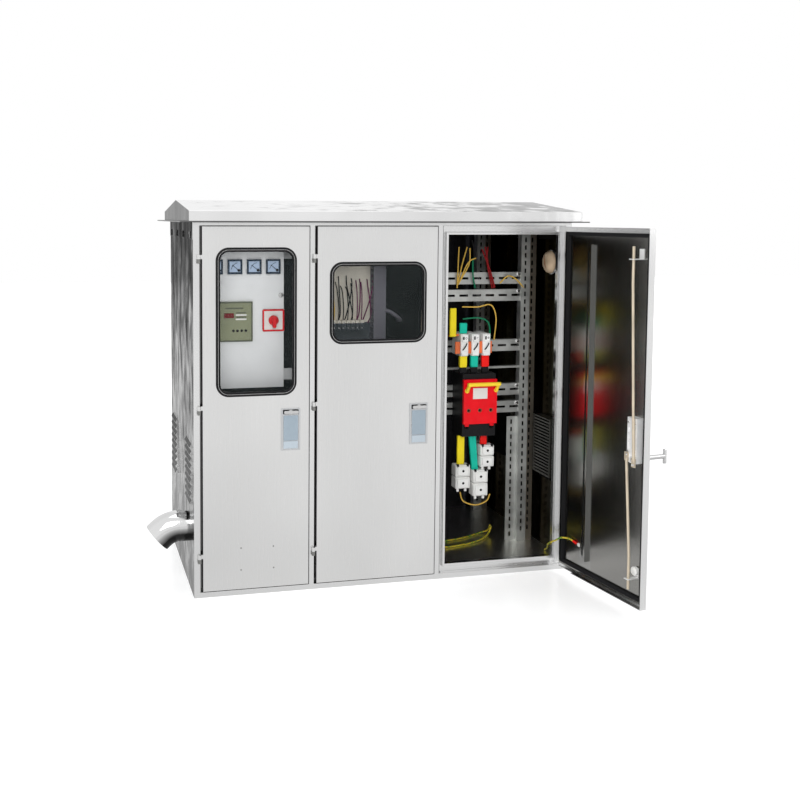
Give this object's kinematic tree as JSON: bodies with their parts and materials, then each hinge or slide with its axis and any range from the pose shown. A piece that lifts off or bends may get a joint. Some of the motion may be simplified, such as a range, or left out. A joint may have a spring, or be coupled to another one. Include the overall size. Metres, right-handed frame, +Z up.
{
  "type": "three-door outdoor distribution box",
  "caption": "Stainless outdoor distribution box with gabled roof, windowed doors, three-point locks on lift-out handles, fuse switch on slotted rails and a bent side cable outlet.",
  "frame": {"origin": "middle of the footprint, on the ground, at the centre of the four ground-bolt holes", "axes": "+X to the right along the front, +Y from the front to the back, +Z up"},
  "size_m": [1.6369, 1.215, 1.333],
  "materials": {
    "stainless": "brushed stainless sheet, bright",
    "roof_steel": "brushed stainless sheet, slightly duller",
    "inner_steel": "plain stainless sheet, reflecting the inside",
    "zinc_steel": "zinc-coated slotted sections",
    "hinge_steel": "welded steel hinges",
    "black_rubber": "extruded rubber, semi-matt",
    "window_glass": "clear safety glass",
    "lock_face": "blue-grey painted lock face",
    "lock_steel": "zinc-coated lock parts",
    "rod_brass": "yellow-passivated rods",
    "handle_metal": "polished die-cast handle",
    "panel_white": "white powder coat",
    "meter_dark": "dark moulded meter cases",
    "control_green": "grey-green moulded face",
    "switch_white": "white plate with a red edge",
    "switch_red": "red moulded plastic",
    "board_beige": "beige insulating board",
    "duct_grey": "grey slotted duct",
    "base_black": "black moulded insulator",
    "handle_yellow": "yellow moulded handle",
    "link_ceramic": "ceramic fuse bodies with metal blades",
    "carrier_white": "white moulded insulator",
    "phase_sleeve": "insulating sleeves in three phase colours",
    "heater_alloy": "anodised finned heater",
    "lamp_cream": "opal lamp cover",
    "wire_insulation": "coloured wire insulation",
    "earth_insulation": "green and yellow wire insulation"
  },
  "bodies": {
    "cabinet": {"base_frame": "inner_steel", "front_frame": "stainless", "left_side_panel": "stainless", "right_side_panel": "stainless", "back_panel": "stainless", "partitions": "inner_steel", "top_plate": "roof_steel", "roof_cover": "roof_steel", "cable_outlet": "stainless", "frame_hinge_pins": "hinge_steel", "instrument_panel": "panel_white", "panel_meters": "meter_dark", "power_controller": "control_green", "switch_plate": "switch_white", "meter_board": "board_beige", "wiring_duct": "duct_grey", "slotted_posts": "zinc_steel", "slotted_rails": "zinc_steel", "fuse_switch_base": "base_black", "fuse_carriers": "carrier_white", "phase_bars": "phase_sleeve", "terminal_blocks": "carrier_white", "panel_heater": "heater_alloy", "cabin_lamp": "lamp_cream", "control_wires": "wire_insulation", "earth_wires": "earth_insulation", "bonding_lead": "earth_insulation"},
    "knob": {"switch_knob": "switch_red"},
    "switch_cover": {"fuse_switch_cover": "switch_red", "fuse_switch_handle": "handle_yellow", "fuse_links": "link_ceramic"},
    "door_1": {"door_1_shell": "stainless", "door_1_seal": "black_rubber", "door_1_window_gasket": "black_rubber", "door_1_window_pane": "window_glass", "door_1_lock_plate": "lock_face", "door_1_lock_case": "lock_steel"},
    "door_1_lock_cam_body": {"door_1_lock_cam": "lock_steel"},
    "door_1_handle_body": {"door_1_handle": "handle_metal"},
    "door_1_upper_rod_body": {"door_1_upper_rod": "rod_brass"},
    "door_1_lower_rod_body": {"door_1_lower_rod": "rod_brass"},
    "door_2": {"door_2_shell": "stainless", "door_2_seal": "black_rubber", "door_2_window_gasket": "black_rubber", "door_2_window_pane": "window_glass", "door_2_lock_plate": "lock_face", "door_2_lock_case": "lock_steel"},
    "door_2_lock_cam_body": {"door_2_lock_cam": "lock_steel"},
    "door_2_handle_body": {"door_2_handle": "handle_metal"},
    "door_2_upper_rod_body": {"door_2_upper_rod": "rod_brass"},
    "door_2_lower_rod_body": {"door_2_lower_rod": "rod_brass"},
    "door_3": {"door_3_shell": "stainless", "door_3_seal": "black_rubber", "door_3_lock_plate": "lock_face", "door_3_lock_case": "lock_steel"},
    "door_3_lock_cam_body": {"door_3_lock_cam": "lock_steel"},
    "door_3_handle_body": {"door_3_handle": "handle_metal"},
    "door_3_upper_rod_body": {"door_3_upper_rod": "rod_brass"},
    "door_3_lower_rod_body": {"door_3_lower_rod": "rod_brass"}
  },
  "joints": [
    {"name": "knob_turn", "type": "hinge", "parent": "cabinet", "child": "knob", "pos_m": [-0.39, -0.265, 0.921], "axis": [0, 1, 0], "range_deg": [0, 90]},
    {"name": "switch_cover_tilt", "type": "hinge", "parent": "cabinet", "child": "switch_cover", "pos_m": [0.3855, -0.223, 0.519], "axis": [1, 0, 0], "range_deg": [0, 70]},
    {"name": "door_1_swing", "type": "hinge", "parent": "cabinet", "child": "door_1", "pos_m": [-0.6575, -0.357, 0.6345], "axis": [0, 0, -1], "range_deg": [0, 120]},
    {"name": "door_1_lock_turn", "type": "hinge", "parent": "door_1", "child": "door_1_lock_cam_body", "pos_m": [-0.3475, -0.352, 0.619], "axis": [0, 1, 0], "range_deg": [0, 90]},
    {"name": "door_1_handle_pull", "type": "slide", "parent": "door_1_lock_cam_body", "child": "door_1_handle_body", "axis": [0, -1, 0], "range_m": [0, 0.095]},
    {"name": "door_1_upper_rod_slide", "type": "slide", "parent": "door_1", "child": "door_1_upper_rod_body", "axis": [0, 0, -1], "range_m": [0, 0.02828]},
    {"name": "door_1_lower_rod_slide", "type": "slide", "parent": "door_1", "child": "door_1_lower_rod_body", "axis": [0, 0, 1], "range_m": [0, 0.0284]},
    {"name": "door_2_swing", "type": "hinge", "parent": "cabinet", "child": "door_2", "pos_m": [-0.2675, -0.357, 0.6345], "axis": [0, 0, -1], "range_deg": [0, 120]},
    {"name": "door_2_lock_turn", "type": "hinge", "parent": "door_2", "child": "door_2_lock_cam_body", "pos_m": [0.1075, -0.352, 0.619], "axis": [0, 1, 0], "range_deg": [0, 90]},
    {"name": "door_2_handle_pull", "type": "slide", "parent": "door_2_lock_cam_body", "child": "door_2_handle_body", "axis": [0, -1, 0], "range_m": [0, 0.095]},
    {"name": "door_2_upper_rod_slide", "type": "slide", "parent": "door_2", "child": "door_2_upper_rod_body", "axis": [0, 0, -1], "range_m": [0, 0.02828]},
    {"name": "door_2_lower_rod_slide", "type": "slide", "parent": "door_2", "child": "door_2_lower_rod_body", "axis": [0, 0, 1], "range_m": [0, 0.0284]},
    {"name": "door_3_swing", "type": "hinge", "parent": "cabinet", "child": "door_3", "pos_m": [0.6575, -0.357, 0.6345], "axis": [0, 0, 1], "range_deg": [-98, 22], "deforming": ["bonding_lead"]},
    {"name": "door_3_lock_turn", "type": "hinge", "parent": "door_3", "child": "door_3_lock_cam_body", "pos_m": [0.70982, -0.76519, 0.501], "axis": [0.9903, 0.1392, 0], "range_deg": [-90, 0]},
    {"name": "door_3_handle_pull", "type": "slide", "parent": "door_3_lock_cam_body", "child": "door_3_handle_body", "axis": [0.9903, 0.1392, 0], "range_m": [-0.095, 0]},
    {"name": "door_3_upper_rod_slide", "type": "slide", "parent": "door_3", "child": "door_3_upper_rod_body", "axis": [0, 0, -1], "range_m": [-0.02828, 0]},
    {"name": "door_3_lower_rod_slide", "type": "slide", "parent": "door_3", "child": "door_3_lower_rod_body", "axis": [0, 0, 1], "range_m": [-0.0284, 0]}
  ],
  "couplings": [
    {"joint": "door_1_lock_turn", "follows": "door_1_upper_rod_slide", "rad_per_m": 55.537},
    {"joint": "door_1_lower_rod_slide", "follows": "door_1_upper_rod_slide", "ratio": 1},
    {"joint": "door_2_lock_turn", "follows": "door_2_upper_rod_slide", "rad_per_m": 55.537},
    {"joint": "door_2_lower_rod_slide", "follows": "door_2_upper_rod_slide", "ratio": 1},
    {"joint": "door_3_lock_turn", "follows": "door_3_upper_rod_slide", "rad_per_m": 55.537},
    {"joint": "door_3_lower_rod_slide", "follows": "door_3_upper_rod_slide", "ratio": 1}
  ]
}
